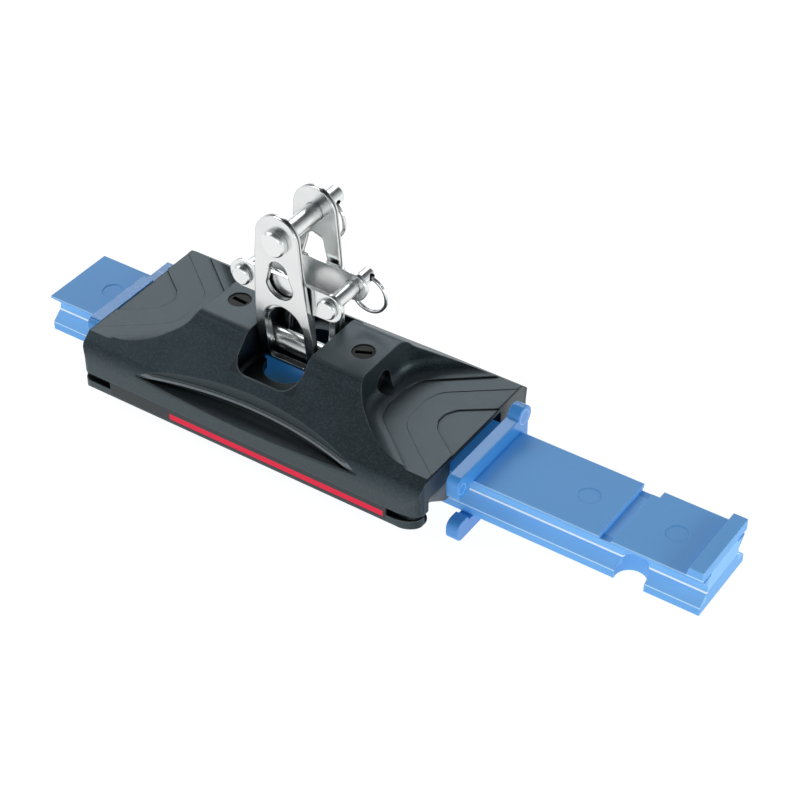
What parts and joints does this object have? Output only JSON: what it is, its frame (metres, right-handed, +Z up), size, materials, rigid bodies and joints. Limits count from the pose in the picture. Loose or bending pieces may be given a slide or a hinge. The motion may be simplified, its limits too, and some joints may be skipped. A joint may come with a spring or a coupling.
{
  "type": "mainsheet traveller car",
  "caption": "Captive-ball traveller car with a stand-up toggle, two control tangs and clevis pins, kept on a short plastic loading rail between two snap stops.",
  "frame": {"origin": "under the middle of the car, on the surface that the two stops stand on", "axes": "+X along the rail to its longer end, +Y across it to the pins' ring side, +Z up"},
  "size_m": [0.2366, 0.062, 0.0831],
  "materials": {
    "rail_blue": "satin",
    "stop_blue": "satin",
    "body_grey": "dark hard-anodised satin",
    "label": "printed film with a plain red stripe",
    "ball": "smooth",
    "guide": "satin",
    "shaft_steel": "ground",
    "screw_steel": "turned",
    "strap_steel": "polished",
    "pin_steel": "polished",
    "ring_steel": "polished"
  },
  "bodies": {
    "rail": {"loading_rail": "rail_blue"},
    "stop_left": {"stop_left": "stop_blue"},
    "stop_right": {"stop_right": "stop_blue"},
    "car": {"car_body": "body_grey", "side_label_front": "label", "side_label_back": "label", "ball_row_front": "ball", "ball_row_back": "ball", "return_guides_left": "guide", "return_guides_right": "guide", "pivot_shaft": "shaft_steel", "set_screws": "screw_steel"},
    "toggle": {"toggle_strap": "strap_steel", "tang_strap": "strap_steel"},
    "main_pin": {"main_pin": "pin_steel"},
    "main_ring": {"main_ring": "ring_steel"},
    "tang_pin_left": {"tang_pin_left": "pin_steel"},
    "tang_ring_left": {"tang_ring_left": "ring_steel"},
    "tang_pin_right": {"tang_pin_right": "pin_steel"},
    "tang_ring_right": {"tang_ring_right": "ring_steel"}
  },
  "joints": [
    {"name": "stop_left_slide", "type": "slide", "parent": "rail", "child": "stop_left", "axis": [1, 0, 0], "range_m": [-0.02, 0]},
    {"name": "stop_right_slide", "type": "slide", "parent": "rail", "child": "stop_right", "axis": [1, 0, 0], "range_m": [0, 0.035]},
    {"name": "car_slide", "type": "slide", "parent": "rail", "child": "car", "axis": [1, 0, 0], "range_m": [0, 0.0035]},
    {"name": "toggle_hinge", "type": "hinge", "parent": "car", "child": "toggle", "pos_m": [0, 0, 0.0288], "axis": [1, 0, 0], "range_deg": [-35, 35]},
    {"name": "main_pin_turn", "type": "hinge", "parent": "toggle", "child": "main_pin", "pos_m": [0, 0, 0.0737], "axis": [0, 1, 0], "continuous": true},
    {"name": "main_ring_swing", "type": "hinge", "parent": "main_pin", "child": "main_ring", "pos_m": [0, 0.0165, 0.0737], "axis": [0.9563, 0, -0.2924], "range_deg": [-18, 100]},
    {"name": "tang_pin_left_turn", "type": "hinge", "parent": "toggle", "child": "tang_pin_left", "pos_m": [-0.0156, 0, 0.0542], "axis": [0, 1, 0], "continuous": true},
    {"name": "tang_ring_left_swing", "type": "hinge", "parent": "tang_pin_left", "child": "tang_ring_left", "pos_m": [-0.0156, 0.0124, 0.0542], "axis": [1, 0, 0], "range_deg": [-6, 100]},
    {"name": "tang_pin_right_turn", "type": "hinge", "parent": "toggle", "child": "tang_pin_right", "pos_m": [0.0156, 0, 0.0542], "axis": [0, 1, 0], "continuous": true},
    {"name": "tang_ring_right_swing", "type": "hinge", "parent": "tang_pin_right", "child": "tang_ring_right", "pos_m": [0.0156, 0.0124, 0.0542], "axis": [0.9816, 0, 0.1908], "range_deg": [-6, 100]}
  ]
}
